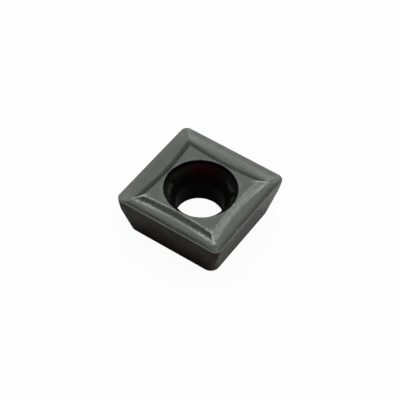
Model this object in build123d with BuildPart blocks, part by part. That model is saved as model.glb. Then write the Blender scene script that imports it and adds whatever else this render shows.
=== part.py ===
from build123d import *
import os
from math import atan2, cos, degrees, radians, sqrt, tan

# Square, single-sided, positive carbide indexable insert with a moulded chipbreaker
# and a curved seat for a countersunk clamping screw.
# Millimetres. Origin: centre of the bottom seat face. +Z runs up through the screw
# hole to the rake side; X and Y are square to the four flanks.

# ---- blank -----------------------------------------------------------------
side = 12.7                 # inscribed circle: width across the honed cutting edges
thickness = 4.76            # bottom seat to cutting edge
relief_angle = 11.0         # flank slope off the vertical, degrees
nose_radius = 0.8           # corner radius at the cutting edge
shoulder_depth = 1.8        # below the edge, where the corner relief steepens
shoulder_corner_radius = 0.34
base_corner_radius = 1.05   # corner radius at the bottom seat
base_break = 0.08           # edge break round the bottom seat

# ---- cutting edge ----------------------------------------------------------
land_width = 0.12           # flat land behind the edge
hone_radius = 0.05          # rounding of the edge itself

# ---- chipbreaker groove and island -------------------------------------------
# Four outlines from the side inwards: knee, valley, toe and the island's edge. Each is
# a square whose sides bow in at the middle, and its depth is below the cutting edge.
knee_width = 0.61           # side to knee, where the steep outer slope eases off
knee_bow = 0.02
knee_depth = 0.25
knee_corner_radius = 0.48
knee_blend = 0.8
valley_width = 0.59         # knee to valley, the bottom of the groove
valley_bow = 0.10
valley_depth = 0.43
valley_corner_radius = 0.12
valley_blend = 0.15         # concave rounding along the valley
toe_width = 0.19            # valley to toe, where the island's wall turns steeper
toe_bow = 0.26
toe_depth = 0.33
toe_corner_radius = 0.12
island_width = 0.70         # toe to the island's edge, level with the cutting edge
island_bow = 0.24
island_corner_radius = 0.10
island_break = 0.12         # rounding of the island's edge

# ---- screw hole --------------------------------------------------------------
bore_diameter = 5.16
rim_diameter = 7.92         # where the lip rounding leaves the island
lip_radius = 0.18
seat_drop = 0.52            # top of the curved screw seat below the island
seat_curve = 2.0            # section radius of the curved seat
mouth_break = 0.08          # chamfer at the bottom end of the bore

# ---- worked out ----------------------------------------------------------------
relief = radians(relief_angle)
slope = tan(relief)
hone_loss = hone_radius * (slope + 1 / cos(relief) - 1)     # the hone draws the edge in
sharp_side = side + 2 * hone_loss
shoulder_side = sharp_side - 2 * shoulder_depth * slope
base_side = sharp_side - 2 * thickness * slope
shoulder_z = thickness - shoulder_depth

bore_radius = bore_diameter / 2
rim_radius = rim_diameter / 2
wall_radius = rim_radius - lip_radius
seat_width = wall_radius - bore_radius
seat_run = sqrt(seat_curve**2 - (seat_curve - seat_width) ** 2)
seat_z = thickness - seat_drop
bore_top_z = seat_z - seat_run

rake_half = sharp_side / 2 - land_width
knee_reach = side / 2 - knee_width
knee_z = thickness - knee_depth
valley_reach = knee_reach - valley_width
valley_z = thickness - valley_depth
toe_reach = valley_reach - toe_width
toe_z = thickness - toe_depth
island_reach = toe_reach - island_width

# One bowed side of each chipbreaker outline: corner, mid-side, corner.
quarter_turns = (0, 90, 180, 270)
knee_side = [
    Vector(knee_reach, -knee_reach),
    Vector(knee_reach - knee_bow, 0),
    Vector(knee_reach, knee_reach),
]
valley_side = [
    Vector(valley_reach, -valley_reach),
    Vector(valley_reach - valley_bow, 0),
    Vector(valley_reach, valley_reach),
]
toe_side = [
    Vector(toe_reach, -toe_reach),
    Vector(toe_reach - toe_bow, 0),
    Vector(toe_reach, toe_reach),
]
island_side = [
    Vector(island_reach, -island_reach),
    Vector(island_reach - island_bow, 0),
    Vector(island_reach, island_reach),
]

with BuildPart() as insert_body:
    # Flanks: one 11 degree plane a side. The nose cone narrows down to the shoulder,
    # then the corner is relieved further and rounds out to the seat.
    with BuildSketch(Plane.XY):
        RectangleRounded(base_side, base_side, base_corner_radius)
    with BuildSketch(Plane.XY.offset(shoulder_z)):
        RectangleRounded(shoulder_side, shoulder_side, shoulder_corner_radius)
    with BuildSketch(Plane.XY.offset(thickness)):
        RectangleRounded(sharp_side, sharp_side, nose_radius)
    loft(ruled=True)
    chamfer(insert_body.faces().sort_by(Axis.Z)[0].edges(), base_break)

    # Chipbreaker bowl: from the land down the groove, steep behind the edge and
    # easing off from the knee to the valley.
    with BuildSketch(Plane.XY.offset(thickness)):
        RectangleRounded(2 * rake_half, 2 * rake_half, nose_radius - land_width)
    with BuildSketch(Plane.XY.offset(knee_z)) as knee:
        with BuildLine():
            for turn in quarter_turns:
                ThreePointArc(*(point.rotate(Axis.Z, turn) for point in knee_side))
        make_face()
        fillet(knee.vertices(), knee_corner_radius)
    with BuildSketch(Plane.XY.offset(valley_z)) as valley:
        with BuildLine():
            for turn in quarter_turns:
                ThreePointArc(*(point.rotate(Axis.Z, turn) for point in valley_side))
        make_face()
        fillet(valley.vertices(), valley_corner_radius)
    loft(ruled=True, mode=Mode.SUBTRACT)
    bowl_edges = insert_body.edges(Select.LAST).group_by(Axis.Z)
    fillet(bowl_edges[2], knee_blend)
    land = insert_body.faces().sort_by(Axis.Z)[-1]
    fillet(land.outer_wire().edges(), hone_radius)

    # Island: a bow-sided plateau level with the edge. Its wall rises from the valley
    # and turns steeper at the toe, which fades out towards the corners.
    with BuildSketch(Plane.XY.offset(valley_z)) as foot:
        with BuildLine():
            for turn in quarter_turns:
                ThreePointArc(*(point.rotate(Axis.Z, turn) for point in valley_side))
        make_face()
        fillet(foot.vertices(), valley_corner_radius)
    with BuildSketch(Plane.XY.offset(toe_z)) as toe:
        with BuildLine():
            for turn in quarter_turns:
                ThreePointArc(*(point.rotate(Axis.Z, turn) for point in toe_side))
        make_face()
        fillet(toe.vertices(), toe_corner_radius)
    with BuildSketch(Plane.XY.offset(thickness)) as plateau:
        with BuildLine():
            for turn in quarter_turns:
                ThreePointArc(*(point.rotate(Axis.Z, turn) for point in island_side))
        make_face()
        fillet(plateau.vertices(), island_corner_radius)
    loft(ruled=True)
    island_edges = insert_body.edges(Select.LAST).group_by(Axis.Z)
    fillet(island_edges[-1], island_break)
    fillet(island_edges[0], valley_blend)

    # Screw hole, turned about Z: chamfered mouth, bore, curved seat, short upright
    # wall and a rounded lip.
    with BuildSketch(Plane.XZ):
        with BuildLine():
            lip = CenterArc((rim_radius, thickness - lip_radius), lip_radius, 90, 90)
            Line(lip @ 1, (wall_radius, seat_z))
            seat = CenterArc(
                (bore_radius + seat_curve, bore_top_z),
                seat_curve,
                180,
                -degrees(atan2(seat_run, seat_curve - seat_width)),
            )
            Polyline(
                seat @ 0,
                (bore_radius, mouth_break),
                (bore_radius + 2 * mouth_break, -mouth_break),
                (0, -mouth_break),
                (0, thickness + lip_radius),
                (rim_radius, thickness + lip_radius),
                (rim_radius, thickness),
            )
        make_face()
    revolve(axis=Axis.Z, mode=Mode.SUBTRACT)

insert_body.part.label = "insert_body"
os.makedirs("parts", exist_ok=True)
export_step(insert_body.part, "parts/insert_body.step")
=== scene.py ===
from math import atan2, cos, pi, radians, sin, sqrt, tan

import bpy
import numpy as np
from mathutils import Matrix, Vector


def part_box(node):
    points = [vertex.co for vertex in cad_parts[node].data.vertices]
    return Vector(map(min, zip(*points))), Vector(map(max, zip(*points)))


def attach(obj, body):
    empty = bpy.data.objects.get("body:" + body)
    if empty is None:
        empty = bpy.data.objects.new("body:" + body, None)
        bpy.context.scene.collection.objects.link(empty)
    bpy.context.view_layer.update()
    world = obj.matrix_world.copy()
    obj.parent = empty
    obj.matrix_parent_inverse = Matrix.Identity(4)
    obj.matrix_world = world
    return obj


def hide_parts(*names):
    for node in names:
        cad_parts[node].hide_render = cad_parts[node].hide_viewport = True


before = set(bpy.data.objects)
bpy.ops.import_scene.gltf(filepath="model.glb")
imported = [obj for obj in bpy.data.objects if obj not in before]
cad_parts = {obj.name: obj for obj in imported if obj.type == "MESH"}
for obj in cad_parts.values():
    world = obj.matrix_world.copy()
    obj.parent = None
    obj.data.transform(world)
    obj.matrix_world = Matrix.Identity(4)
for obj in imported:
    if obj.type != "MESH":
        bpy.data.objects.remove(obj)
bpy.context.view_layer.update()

MM = 0.001
LOW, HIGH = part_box("insert_body")

# ---- the insert's sizes, in millimetres ------------------------------------------------
SIDE = (HIGH.x - LOW.x) / MM
THICKNESS = (HIGH.z - LOW.z) / MM
RELIEF = radians(11)
NOSE_RADIUS = 0.8
SHOULDER_DEPTH = 1.8
SHOULDER_CORNER = 0.34
BASE_CORNER = 1.05
BASE_BREAK = 0.08
LAND_WIDTH = 0.12
HONE_RADIUS = 0.05
GROOVE_DEPTH = 0.43
KNEE_REACH, KNEE_BOW, KNEE_CORNER, KNEE_DEPTH = 5.72, 0.02, 0.70, 0.238
VALLEY_REACH, VALLEY_BOW, VALLEY_CORNER = 5.17, 0.12, 0.12
FOOT_REACH, FOOT_BOW, FOOT_CORNER, FOOT_DEPTH = 5.05, 0.35, 0.10, 0.335
ISLAND_REACH, ISLAND_BOW, ISLAND_CORNER = 4.28, 0.26, 0.12
BORE_RADIUS = 2.58
RIM_RADIUS = 3.98
LIP_RADIUS = 0.09
SEAT_DROP = 0.52
SEAT_CURVE = 2.0
MOUTH_BREAK = 0.08

# Small dents: x, y and depth, in millimetres. The last is a nick in the +X cutting edge.
DENTS = ((4.18, -1.02, 0.06), (4.19, -0.19, 0.05), (6.33, -2.47, 0.12))
DENT_WIDTH = 0.13
DENT_DEPTH, DENT_FADE = 0.8, 0.3           # how far below the rake a dent is felt, and its fade

# How far before and after the edge, knee, valley, foot and island lines their rounding reaches.
ROUNDINGS = ((0.04, 0.05), (0.24, 0.28), (0.16, 0.12), (0.14, 0.14), (0.10, 0.12))

# Painted highlight lines, where the coating is painted to shine: how far each fades out, in
# millimetres.
EDGE_HIGHLIGHT, RIDGE_HIGHLIGHT, CREASE_HIGHLIGHT, WALL_HIGHLIGHT, RIM_HIGHLIGHT = 0.09, 0.09, 0.14, 0.27, 0.08
NOSE_HIGHLIGHT, TIP_HIGHLIGHT = 1.6, 0.25
WALL_PLACE = 0.65            # of the way from the island's edge to its foot
TIP_INSET, RIDGE_END = 0.1, 0.1            # from the foot line, inwards and outwards
NOSE_RISE, NOSE_END, NOSE_FALL = 0.4, 5.85, 0.25

# Where along a side the painted highlights grow towards a corner, and how they fade at the side's end.
GROWTH_START, GROWTH_RUN, END_FADE, CORNER_FADE = 1, 2.5, 0.3, 4

# How strong the painted highlights are, where 1 is whole and the crease goes past it: by feature,
# then by side (-Y is front, +X is right, and far is the right side's end by +Y). GAIN is what the
# front side gains towards its corners.
LIP_SHARE, RIM_SHARE, NOSE_SHARE, TIP_SHARE = 0.4, 0.12, 0.14, 0.7
EDGE_FRONT, EDGE_GAIN, EDGE_RIGHT = 0.5, 0.35, 0.45
CREASE_FRONT, CREASE_GAIN, CREASE_RIGHT, CREASE_FAR = 0.15, 1.45, 0.15, 0.5
WALL_RIGHT, WALL_FAR = 0.32, 0.22

# Painted highlight streaks across the seat in the hole, in a band at a height and to both sides of a
# bearing.
SEAT_GLINT_SHARE, SEAT_GLINT_BEARING, SEAT_GLINT_SPREAD = 0.10, radians(34), 0.5
SEAT_GLINT_HEIGHT, SEAT_GLINT_WIDTH = 3.92, 0.13

# Where the colour turns: a dark red tone on one side of the hole, and painted shade on the flanks
# below a depth, darker and redder towards the floor.
BLUSH_BEARING, BLUSH_SPREAD = radians(120), 0.55
BLUSH_FOOT, BLUSH_RISE = 2.9, 0.8
BASE_SHADE_SHARE, BASE_SHADE_DEPTH, BASE_SHADE_RUN = 0.6, 1.2, 2.4

SLOPE = tan(RELIEF)
SHARP_HALF = SIDE / 2 + HONE_RADIUS * (SLOPE + 1 / cos(RELIEF) - 1)
RAKE_HALF = SHARP_HALF - LAND_WIDTH
WALL_RADIUS = RIM_RADIUS - LIP_RADIUS
SEAT_WIDTH = WALL_RADIUS - BORE_RADIUS
SEAT_RUN = sqrt(SEAT_CURVE**2 - (SEAT_CURVE - SEAT_WIDTH) ** 2)
BORE_TOP = THICKNESS - SEAT_DROP - SEAT_RUN

# ---- the camera, as fitted to the photograph (400 x 400) ---------------------------------
AZIMUTH, ELEVATION, ROLL = radians(31.95), radians(49.3), radians(3.03)
RAKE_CENTRE_PX = Vector((200.83, 188.04))
SIDE_PX = 122.5              # pixels that one side spans at the rake's centre
SIDE_TO_DISTANCE = 0.087     # the side as a share of the camera's distance
DISTANCE = SIDE * MM / SIDE_TO_DISTANCE
IMAGE_PX, SENSOR = 400, 36.0

# ---- mesh detail ---------------------------------------------------------------------------
SIDE_STEPS = 44              # points along half a side
CORNER_STEPS = 16            # points round a corner
SEAT_STEPS = 10
BREAK_STEPS = 4
LOWER_STEPS, UPPER_STEPS = 30, 16          # the flanks below and above their shoulder
HONE_STEPS = 9
STRAIGHT_STEPS, ROUND_STEPS = 3, 7         # the rake, between its roundings and on them
LIP_STEPS, WALL_STEPS, CURVE_STEPS, BORE_STEPS, MOUTH_STEPS = 11, 3, 25, 12, 2
MOST_CUT = 0.46              # share of the way to the next line that a rounding may take
SHARP_ANGLE = radians(24)


# ---- outlines: closed rings of points, in millimetres ---------------------------------------
QUARTER_TURNS = (((1, 0), (0, 1)), ((0, 1), (-1, 0)), ((-1, 0), (0, -1)), ((0, -1), (1, 0)))


def outline(reach, corner, z, bow=0.0):
    """A square with rounded corners. bow pulls each side in at its middle."""
    if bow:
        curve = (reach**2 + bow**2) / (2 * bow)
        middle = reach - bow + curve
        fillet = (middle - sqrt(2 * (curve + corner) ** 2 - middle**2)) / 2
        lean = atan2(fillet, middle - fillet)
    else:
        fillet, lean = reach - corner, 0.0
    meet = fillet - corner * sin(lean)
    side = []
    for y in np.linspace(0, meet, SIDE_STEPS, endpoint=False):
        side.append((middle - sqrt(curve**2 - y**2) if bow else reach, y))
    turns = np.linspace(-lean, pi / 2 + lean, CORNER_STEPS)
    nose = [(fillet + corner * cos(turn), fillet + corner * sin(turn)) for turn in turns]
    quarter = np.array(side + nose + [(y, x) for x, y in reversed(side[1:])])
    ring = np.concatenate([quarter @ np.array(turn) for turn in QUARTER_TURNS])
    return np.column_stack([ring, np.full(len(ring), z)])


LAND_OUTER = outline(SHARP_HALF - HONE_RADIUS, NOSE_RADIUS - HONE_RADIUS, THICKNESS)
BEARINGS = np.arctan2(LAND_OUTER[:, 1], LAND_OUTER[:, 0])


def circle(radius, z):
    """A round ring whose points have the same bearings as the square rings' points."""
    across, along = radius * np.cos(BEARINGS), radius * np.sin(BEARINGS)
    return np.column_stack([across, along, np.full(len(BEARINGS), z)])


def run(start, end, steps):
    """Rings in a straight run after start, up to end."""
    return [start + (end - start) * (step / steps) for step in range(1, steps + 1)]


def rounded(start, corner, end, steps):
    """Rings after start on a curve that leaves towards corner and comes in to end."""
    rings = []
    for share in np.linspace(0, 1, steps + 1)[1:]:
        rings.append((1 - share) ** 2 * start + 2 * share * (1 - share) * corner + share**2 * end)
    return rings


# ---- the insert's surface, as one tube of rings from the seat round to the bore ------------------
def flank_ring(z):
    """The flanks' outline at a height: the nose narrows to the shoulder, then rounds out again."""
    depth = THICKNESS - z
    if depth < SHOULDER_DEPTH:
        rest = 1 - depth / SHOULDER_DEPTH
        corner = SHOULDER_CORNER + (NOSE_RADIUS - SHOULDER_CORNER) * rest**2
    else:
        share = (depth - SHOULDER_DEPTH) / (THICKNESS - SHOULDER_DEPTH)
        corner = SHOULDER_CORNER + (BASE_CORNER - SHOULDER_CORNER) * share
    return outline(SHARP_HALF - depth * SLOPE, corner, z)


def flank_rings():
    """Base break, then the flanks up to where the hone starts."""
    base = SHARP_HALF - THICKNESS * SLOPE
    inset = outline(base - BASE_BREAK, BASE_CORNER - BASE_BREAK, 0)
    break_top = BASE_BREAK * cos(RELIEF)
    rings = rounded(inset, outline(base, BASE_CORNER, 0), flank_ring(break_top), BREAK_STEPS)
    shoulder = THICKNESS - SHOULDER_DEPTH
    hone_foot = THICKNESS - HONE_RADIUS * (1 + sin(RELIEF))
    rings += [flank_ring(z) for z in np.linspace(break_top, shoulder, LOWER_STEPS)[1:]]
    rings += [flank_ring(z) for z in np.linspace(shoulder, hone_foot, UPPER_STEPS)[1:]]
    return rings


def hone_rings():
    """The rounded cutting edge, from the flank over to the land."""
    centre = SHARP_HALF - HONE_RADIUS * (SLOPE + 1 / cos(RELIEF))
    rings = []
    for turn in np.linspace(-RELIEF, pi / 2, HONE_STEPS)[1:]:
        reach = centre + HONE_RADIUS * cos(turn)
        z = THICKNESS - HONE_RADIUS * (1 - sin(turn))
        rings.append(outline(reach, NOSE_RADIUS - (SHARP_HALF - reach), z))
    return rings


def towards(corner, other, length):
    """Points on the way from one ring to another, a length along but short of the middle.

    Stopping short keeps the roundings of two neighbouring lines from meeting in one ring."""
    gap = np.linalg.norm(other - corner, axis=1, keepdims=True)
    return corner + (other - corner) * np.minimum(length / gap, MOST_CUT)


def faired(rings, cuts):
    """Rings along a path that is rounded at each ring between the ends.

    A pair of cuts says how far before and after the ring its rounding starts and ends."""
    path = []
    for before, corner, after, (back, ahead) in zip(rings, rings[1:], rings[2:], cuts):
        start = towards(corner, before, back)
        path += run(path[-1] if path else rings[0], start, STRAIGHT_STEPS)
        path += rounded(start, corner, towards(corner, after, ahead), ROUND_STEPS)
    return path + run(path[-1], rings[-1], STRAIGHT_STEPS)


def near(rings, line, reach):
    """How close each point of the rings is to a line of points on them, from 0 to 1.

    The fade to 0 takes about twice the reach."""
    gap = np.array([np.linalg.norm(ring - line, axis=1) for ring in rings])
    return np.exp(-((gap / reach) ** 2))


def rake_rings(land):
    """Land, hollow groove, valley, island wall and island, in to the hole's lip, and their painted
    highlights.
    """
    edge = outline(RAKE_HALF, NOSE_RADIUS - LAND_WIDTH, THICKNESS)
    knee = outline(KNEE_REACH, KNEE_CORNER, THICKNESS - KNEE_DEPTH, KNEE_BOW)
    valley = outline(VALLEY_REACH, VALLEY_CORNER, THICKNESS - GROOVE_DEPTH, VALLEY_BOW)
    foot = outline(FOOT_REACH, FOOT_CORNER, THICKNESS - FOOT_DEPTH, FOOT_BOW)
    island = outline(ISLAND_REACH, ISLAND_CORNER, THICKNESS, ISLAND_BOW)
    rim = circle(RIM_RADIUS, THICKNESS)
    path = [land, edge, knee, valley, foot, island, rim]
    rings = faired(path, ROUNDINGS)
    return rings, np.maximum(painted_rake_highlights(rings, island, foot), RIM_SHARE * near(rings, rim, RIM_HIGHLIGHT))


def painted_rake_highlights(rings, island, foot):
    """Painted highlight share of each point, from 0: island edge, ridges, crease at the foot, wall,
    noses and tips.

    The edge, crease and wall highlights are painted on the -Y and +X sides only, and the ridges and the
    groove's tips at all corners but the (-X, +Y) one. The noses take a little painted highlight at all
    corners, but not next to the cutting edge on the -Y and +X sides."""
    across, along, _ = np.moveaxis(np.array(rings), 2, 0)
    wide, long = np.abs(across), np.abs(along)
    reach = np.maximum(wide, long)
    front = np.clip((-along - wide) / END_FADE + 1, 0, 1)
    right = np.clip((across - long) / END_FADE + 1, 0, 1)
    to_corner = np.clip((np.minimum(wide, long) - GROWTH_START) / GROWTH_RUN, 0, 1)
    far_end = right * np.clip((along - GROWTH_START) / GROWTH_RUN, 0, 1)
    highlight_corner = np.clip(1 + (across - along) / CORNER_FADE, 0, 1)

    edge = front * (EDGE_FRONT + EDGE_GAIN * to_corner) + EDGE_RIGHT * right
    edge = near(rings, island, EDGE_HIGHLIGHT) * edge
    crease = front * (CREASE_FRONT + CREASE_GAIN * to_corner**2)
    crease = near(rings, foot, CREASE_HIGHLIGHT) * (crease + CREASE_RIGHT * right + CREASE_FAR * far_end)
    mid_wall = (1 - WALL_PLACE) * island + WALL_PLACE * foot
    wall = near(rings, mid_wall, WALL_HIGHLIGHT) * (WALL_RIGHT * right - WALL_FAR * far_end)

    on_wall = (reach > ISLAND_REACH - ISLAND_CORNER) & (reach < FOOT_REACH + RIDGE_END)
    off_ridge = np.abs(wide - long) / sqrt(2)
    ridge = np.exp(-((off_ridge / RIDGE_HIGHLIGHT) ** 2)) * on_wall * highlight_corner
    off_nose = np.abs(wide - long) / NOSE_HIGHLIGHT
    nose = NOSE_SHARE * np.exp(-(off_nose**2))
    nose = nose * np.clip((reach - VALLEY_REACH) / NOSE_RISE, 0, 1)
    nose *= 1 - np.maximum(front, right) * np.clip((reach - NOSE_END) / NOSE_FALL, 0, 1)
    off_tip = (wide - FOOT_REACH + TIP_INSET) ** 2 + (long - FOOT_REACH + TIP_INSET) ** 2
    tip = TIP_SHARE * np.exp(-off_tip / TIP_HIGHLIGHT**2) * highlight_corner
    return np.maximum.reduce([edge, ridge, crease, wall, nose, tip])


def dented(points):
    """The points with the small dents pressed down into the rake and its edge."""
    across, along, up = points.T
    drop = np.zeros(len(points))
    for x, y, depth in DENTS:
        drop += depth * np.exp(-((across - x) ** 2 + (along - y) ** 2) / DENT_WIDTH**2)
    near_top = np.clip((up - THICKNESS + DENT_DEPTH) / DENT_FADE, 0, 1)
    return np.column_stack([across, along, up - drop * near_top])


def painted_hole_highlights(rings):
    """Painted highlights in the hole: its lip all round, and streaks on two sides of the seat.

    One pair of waves moves the streaks up and down, and another pair breaks them up."""
    across, along, up = np.moveaxis(np.array(rings), 2, 0)
    bearing = np.arctan2(along, across)
    lip = LIP_SHARE * (up > THICKNESS - LIP_RADIUS / 2)
    beside = np.exp(-((np.sin(bearing - SEAT_GLINT_BEARING) / SEAT_GLINT_SPREAD) ** 2))
    wavy = 0.07 * np.sin(5 * bearing) + 0.03 * np.sin(13 * bearing)
    broken = np.clip(np.sin(7 * bearing + 1) + 0.7 * np.sin(19 * bearing) + 0.9, 0, 1)
    band = np.exp(-(((up - SEAT_GLINT_HEIGHT - wavy) / SEAT_GLINT_WIDTH) ** 2))
    return np.maximum(lip, SEAT_GLINT_SHARE * beside * broken * band)


def blushed(rings):
    """Where the hole turns dark red, 0 to 1: high on the seat, at one bearing."""
    across, along, up = np.moveaxis(np.array(rings), 2, 0)
    aside = (np.arctan2(along, across) - BLUSH_BEARING) / BLUSH_SPREAD
    return np.exp(-(aside**2)) * np.clip((up - BLUSH_FOOT) / BLUSH_RISE, 0, 1)


def hole_rings():
    """Rounded lip, short upright wall, curved screw seat, bore and the break at its mouth."""
    rings = []
    for turn in np.linspace(0, pi / 2, LIP_STEPS)[1:]:
        height = THICKNESS - LIP_RADIUS * (1 - cos(turn))
        rings.append(circle(RIM_RADIUS - LIP_RADIUS * sin(turn), height))
    rings += run(rings[-1], circle(WALL_RADIUS, THICKNESS - SEAT_DROP), WALL_STEPS)
    seat_turn = atan2(SEAT_RUN, SEAT_CURVE - SEAT_WIDTH)
    for turn in np.linspace(seat_turn, 0, CURVE_STEPS)[1:]:
        radius = BORE_RADIUS + SEAT_CURVE * (1 - cos(turn))
        rings.append(circle(radius, BORE_TOP + SEAT_CURVE * sin(turn)))
    rings += run(rings[-1], circle(BORE_RADIUS, MOUTH_BREAK), BORE_STEPS)
    return rings + run(rings[-1], circle(BORE_RADIUS + MOUTH_BREAK, 0), MOUTH_STEPS)


def painted_base_shade(rings):
    """Painted shade on the flanks, 0 to 1: darker and redder downwards towards the floor, alike on all
    sides.
    """
    up = np.array(rings)[:, :, 2]
    return BASE_SHADE_SHARE * np.clip((THICKNESS - up - BASE_SHADE_DEPTH) / BASE_SHADE_RUN, 0, 1)


def make_insert():
    """The whole insert as one closed mesh, with one material a region."""
    mouth = circle(BORE_RADIUS + MOUTH_BREAK, 0)
    base = SHARP_HALF - THICKNESS * SLOPE
    seat = run(mouth, outline(base - BASE_BREAK, BASE_CORNER - BASE_BREAK, 0), SEAT_STEPS)
    flanks = flank_rings()
    hone = hone_rings()
    rake, rake_highlight = rake_rings(hone[-1])
    hole = hole_rings()
    regions = [seat, flanks, hone, rake, hole]
    rings = [ring for region in regions for ring in region]
    around = len(rings[0])
    plain = [np.zeros((len(region), around)) for region in regions]
    # The hone's own coat reads no painted highlight share, but the land's first faces fade out from the
    # hone's full share: a painted highlight line next to the cutting edge.
    hone_highlight = np.ones((len(hone), around))
    # Painted highlight shares: next to the cutting edge, on the rake and in the hole.
    painted_highlight = [plain[0], plain[1], hone_highlight, rake_highlight, painted_hole_highlights(hole)]
    # Painted shade low on the flanks, and the dark red tone in the hole.
    shade_and_red_tone = [plain[0], painted_base_shade(flanks), plain[2], plain[3], blushed(hole)]

    faces, slots = [], []
    row = -1
    for slot, region in enumerate(regions):
        for _ in region:
            low, high = row % len(rings) * around, (row + 1) * around
            for step in range(around):
                after = (step + 1) % around
                faces.append((low + step, low + after, high + after, high + step))
                slots.append(slot)
            row += 1
    mesh = bpy.data.meshes.new("insert")
    mesh.from_pydata((dented(np.concatenate(rings)) * MM).tolist(), [], faces)
    mesh.polygons.foreach_set("material_index", slots)
    for name, share in (("painted_highlight", painted_highlight), ("shade_and_red_tone", shade_and_red_tone)):
        values = np.concatenate(share).ravel()
        mesh.attributes.new(name, "FLOAT", "POINT").data.foreach_set("value", values)
    mesh.shade_smooth()
    mesh.set_sharp_from_angle(angle=SHARP_ANGLE)
    mesh.validate()
    insert = bpy.data.objects.new("insert", mesh)
    bpy.context.scene.collection.objects.link(insert)
    return insert


# ---- materials ------------------------------------------------------------------------------------
# Noise, as scale and detail: of the colour, of the painted highlight lines, of the gloss and of the
# grain.
MOTTLE, HIGHLIGHT_NOISE, GLOSS_NOISE, GRAIN = (900, 6), (2200, 4), (2600, 4), (9000, 5)
NOISE_LOW, NOISE_HIGH = 0.3, 0.7
MOTTLE_LOW, MOTTLE_HIGH = 0.32, 0.68
DARKER, LIGHTER = 0.70, 1.30
HIGHLIGHT_LOW, HIGHLIGHT_HIGH = 0.2, 1.1
GLOSS_SPREAD = 0.05
GRAIN_HEIGHT = 0.00001
# The colour of the painted highlight lines, on the rake and in the hole.
HIGHLIGHT_COLOUR = (0.42, 0.44, 0.42)


def coat(name, colour, roughness, ior, bump, highlight_colour=None, tint=(1, 1, 1), shade_and_red_tone=None):
    """A hard-coated carbide surface: fine mottled colour, uneven gloss and a sintered grain.

    The colour for the highlight lines paints them on, broken up by a speckle, and the colour for
    the flanks' base and the hole paints shade low on the flanks and a dark red tone in the hole."""
    material = bpy.data.materials.new(name)
    material.use_nodes = True
    nodes, links = material.node_tree.nodes, material.node_tree.links
    shader = nodes["Principled BSDF"]
    shader.inputs["IOR"].default_value = ior
    shader.inputs["Specular Tint"].default_value = (*tint, 1)
    place = nodes.new("ShaderNodeTexCoord")

    def speckle(scale, detail):
        texture = nodes.new("ShaderNodeTexNoise")
        texture.inputs["Scale"].default_value = scale
        texture.inputs["Detail"].default_value = detail
        links.new(place.outputs["Object"], texture.inputs["Vector"])
        return texture.outputs["Fac"]

    def spread(source, low, high):
        stretch = nodes.new("ShaderNodeMapRange")
        stretch.inputs["From Min"].default_value = NOISE_LOW
        stretch.inputs["From Max"].default_value = NOISE_HIGH
        stretch.inputs["To Min"].default_value = low
        stretch.inputs["To Max"].default_value = high
        links.new(source, stretch.inputs["Value"])
        return stretch.outputs["Result"]

    def share_of(attribute):
        stored = nodes.new("ShaderNodeAttribute")
        stored.attribute_name = attribute
        return stored.outputs["Fac"]

    def mixed_in(surface, share, colour):
        mix = nodes.new("ShaderNodeMix")
        mix.data_type = "RGBA"
        links.new(share, mix.inputs["Factor"])
        links.new(surface, mix.inputs["A"])
        mix.inputs["B"].default_value = (*colour, 1)
        return mix.outputs["Result"]

    tone = nodes.new("ShaderNodeValToRGB")
    dark, light = tone.color_ramp.elements
    dark.position, light.position = MOTTLE_LOW, MOTTLE_HIGH
    dark.color = (*(DARKER * part for part in colour), 1)
    light.color = (*(LIGHTER * part for part in colour), 1)
    links.new(speckle(*MOTTLE), tone.inputs["Fac"])
    skin = tone.outputs["Color"]
    if shade_and_red_tone:
        skin = mixed_in(skin, share_of("shade_and_red_tone"), shade_and_red_tone)
    if highlight_colour:
        broken = nodes.new("ShaderNodeMath")
        broken.operation = "MULTIPLY"
        links.new(share_of("painted_highlight"), broken.inputs[0])
        links.new(spread(speckle(*HIGHLIGHT_NOISE), HIGHLIGHT_LOW, HIGHLIGHT_HIGH), broken.inputs[1])
        skin = mixed_in(skin, broken.outputs["Value"], highlight_colour)
    links.new(skin, shader.inputs["Base Color"])
    matt, gloss = roughness + GLOSS_SPREAD, roughness - GLOSS_SPREAD
    links.new(spread(speckle(*GLOSS_NOISE), gloss, matt), shader.inputs["Roughness"])

    grain = nodes.new("ShaderNodeBump")
    grain.inputs["Strength"].default_value = bump
    grain.inputs["Distance"].default_value = GRAIN_HEIGHT
    links.new(speckle(*GRAIN), grain.inputs["Height"])
    links.new(grain.outputs["Normal"], shader.inputs["Normal"])
    return material


# ---- stage -----------------------------------------------------------------------------------------
# How much of the pale backdrop mirrored and clear rays see. It is little, so that the flanks
# stay dark at the base.
MIRROR_SHARE = 0.03
FLOOR_SIZE = 6
FLOOR_COLOUR, FLOOR_ROUGHNESS, FLOOR_SPECULAR = (0.86, 0.86, 0.86), 0.9, 0.1
FLOOR_SHOWN, WORLD_SHOWN = 0.95, 1.0       # share of the pale tone that the camera sees
WORLD_DIM, WORLD_PALE = (0.05, 0.05, 0.05), (0.975, 0.975, 0.975)

# Lamps that face straight down: centre and size in metres, then how bright each looks.
SOFTBOXES = {
    "overhead": ((-0.13, 0.40, 0.30), (0.79, 0.90), 1.3),
    "front_edge": ((-0.10, -0.02, 0.299), (0.73, 0.09), 1.7),
    "right_edge": ((0.200, 0.34, 0.299), (0.13, 0.76), 1.3),
    "left_side": ((-0.78, 0.43, 0.30), (0.60, 0.70), 0.4),
}


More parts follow.
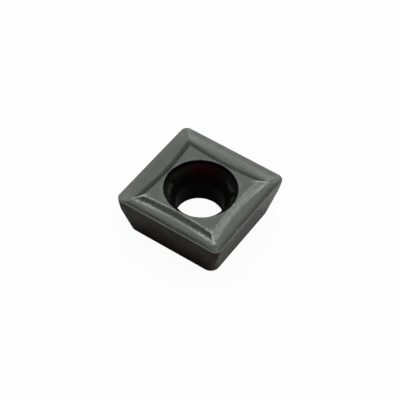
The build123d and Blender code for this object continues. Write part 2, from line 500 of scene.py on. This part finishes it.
def show_pale(tree, plain, pale, camera_share):
    """Shows the pale shader to the camera, and a little of it in mirrored and clear surfaces."""
    nodes, links = tree.nodes, tree.links
    rays = nodes.new("ShaderNodeLightPath")
    mirrored = nodes.new("ShaderNodeMath")
    mirrored.operation = "MAXIMUM"
    links.new(rays.outputs["Is Glossy Ray"], mirrored.inputs[0])
    links.new(rays.outputs["Is Transmission Ray"], mirrored.inputs[1])
    weaker = nodes.new("ShaderNodeMath")
    weaker.operation = "MULTIPLY"
    weaker.inputs[1].default_value = MIRROR_SHARE
    links.new(mirrored.outputs["Value"], weaker.inputs[0])
    seen = nodes.new("ShaderNodeMath")
    seen.operation = "MULTIPLY_ADD"
    seen.inputs[1].default_value = camera_share
    links.new(rays.outputs["Is Camera Ray"], seen.inputs[0])
    links.new(weaker.outputs["Value"], seen.inputs[2])
    mix = nodes.new("ShaderNodeMixShader")
    links.new(seen.outputs["Value"], mix.inputs["Fac"])
    links.new(plain, mix.inputs[1])
    links.new(pale, mix.inputs[2])
    return mix.outputs["Shader"]


def make_floor():
    """A pale floor that shows near white to the camera and keeps a soft shadow."""
    bpy.ops.mesh.primitive_plane_add(size=FLOOR_SIZE)
    floor = bpy.context.object
    floor.name = "floor"
    material = bpy.data.materials.new("floor")
    material.use_nodes = True
    nodes, links = material.node_tree.nodes, material.node_tree.links
    plain = nodes["Principled BSDF"]
    plain.inputs["Base Color"].default_value = (*FLOOR_COLOUR, 1)
    plain.inputs["Roughness"].default_value = FLOOR_ROUGHNESS
    plain.inputs["Specular IOR Level"].default_value = FLOOR_SPECULAR
    glow = nodes.new("ShaderNodeEmission")
    ends = plain.outputs["BSDF"], glow.outputs["Emission"]
    shown = show_pale(material.node_tree, *ends, FLOOR_SHOWN)
    links.new(shown, nodes["Material Output"].inputs["Surface"])
    floor.data.materials.append(material)


def softbox(name, centre, size, radiance):
    """A rectangular lamp that faces straight down, of a stated brightness to look at."""
    lamp = bpy.data.lights.new(name, "AREA")
    lamp.shape = "RECTANGLE"
    lamp.size, lamp.size_y = size
    lamp.energy = radiance * pi * size[0] * size[1]
    holder = bpy.data.objects.new(name, lamp)
    holder.location = centre
    bpy.context.scene.collection.objects.link(holder)


def make_world():
    """A dim studio that shows near white to the camera, as the floor does."""
    world = bpy.data.worlds.new("studio")
    world.use_nodes = True
    nodes, links = world.node_tree.nodes, world.node_tree.links
    dim = nodes["Background"]
    dim.inputs["Color"].default_value = (*WORLD_DIM, 1)
    pale = nodes.new("ShaderNodeBackground")
    pale.inputs["Color"].default_value = (*WORLD_PALE, 1)
    ends = dim.outputs["Background"], pale.outputs["Background"]
    shown = show_pale(world.node_tree, *ends, WORLD_SHOWN)
    links.new(shown, nodes["World Output"].inputs["Surface"])
    return world


def make_lights():
    """The softboxes, and the world round them."""
    for name, (centre, size, radiance) in SOFTBOXES.items():
        softbox(name, centre, size, radiance)
    bpy.context.scene.world = make_world()


def make_camera():
    """The fitted camera, aimed at the rake's centre and shifted so that it lands on its pixel."""
    flat = cos(ELEVATION)
    back = Vector((sin(AZIMUTH) * flat, -cos(AZIMUTH) * flat, sin(ELEVATION)))
    level = Vector((cos(AZIMUTH), sin(AZIMUTH), 0))
    right = Matrix.Rotation(ROLL, 3, back) @ level
    up = back.cross(right)
    camera = bpy.data.cameras.new("camera")
    camera.sensor_width = SENSOR
    camera.lens = SIDE_PX * (DISTANCE / (SIDE * MM)) * SENSOR / IMAGE_PX
    camera.shift_x = (IMAGE_PX / 2 - RAKE_CENTRE_PX.x) / IMAGE_PX
    camera.shift_y = (RAKE_CENTRE_PX.y - IMAGE_PX / 2) / IMAGE_PX
    camera.clip_start = DISTANCE / 50
    holder = bpy.data.objects.new("camera", camera)
    place = Matrix((right, up, back)).transposed().to_4x4()
    place.translation = Vector((0, 0, THICKNESS * MM)) + back * DISTANCE
    holder.matrix_world = place
    bpy.context.scene.collection.objects.link(holder)
    bpy.context.scene.camera = holder


# ---- the scene ---------------------------------------------------------------------------------------
insert = make_insert()
for material in (
    coat("seat_coat", (0.035, 0.034, 0.033), roughness=0.42, ior=1.5, bump=0.3),
    # The flank coat is painted darker and redder towards its base: painted shade.
    coat("flank_coat", (0.030, 0.0235, 0.021), roughness=0.24, ior=1.09, bump=0.2,
         tint=(1.0, 0.88, 0.83), shade_and_red_tone=(0.005, 0.001, 0.001)),
    # The hone's coat is painted lighter: a painted highlight along the cutting edge.
    coat("edge_coat", (0.085, 0.090, 0.080), roughness=0.30, ior=1.5, bump=0.1),
    # The rake coat takes the painted highlight lines on the rake.
    coat("rake_coat", (0.017, 0.022, 0.0175), roughness=0.26, ior=1.735, bump=0.09,
         tint=(0.94, 1.0, 0.93), highlight_colour=HIGHLIGHT_COLOUR),
    # The hole's coat is near black: partly the coating's own black, partly painted shade in the hole.
    coat("hole_coat", (0.004, 0.004, 0.0038), roughness=0.34, ior=1.07, bump=0.2,
         highlight_colour=HIGHLIGHT_COLOUR, shade_and_red_tone=(0.010, 0.0008, 0.0015)),
):
    insert.data.materials.append(material)
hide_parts("insert_body")
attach(insert, "root")

make_floor()
make_lights()
make_camera()
bpy.context.scene.view_settings.view_transform = "Standard"
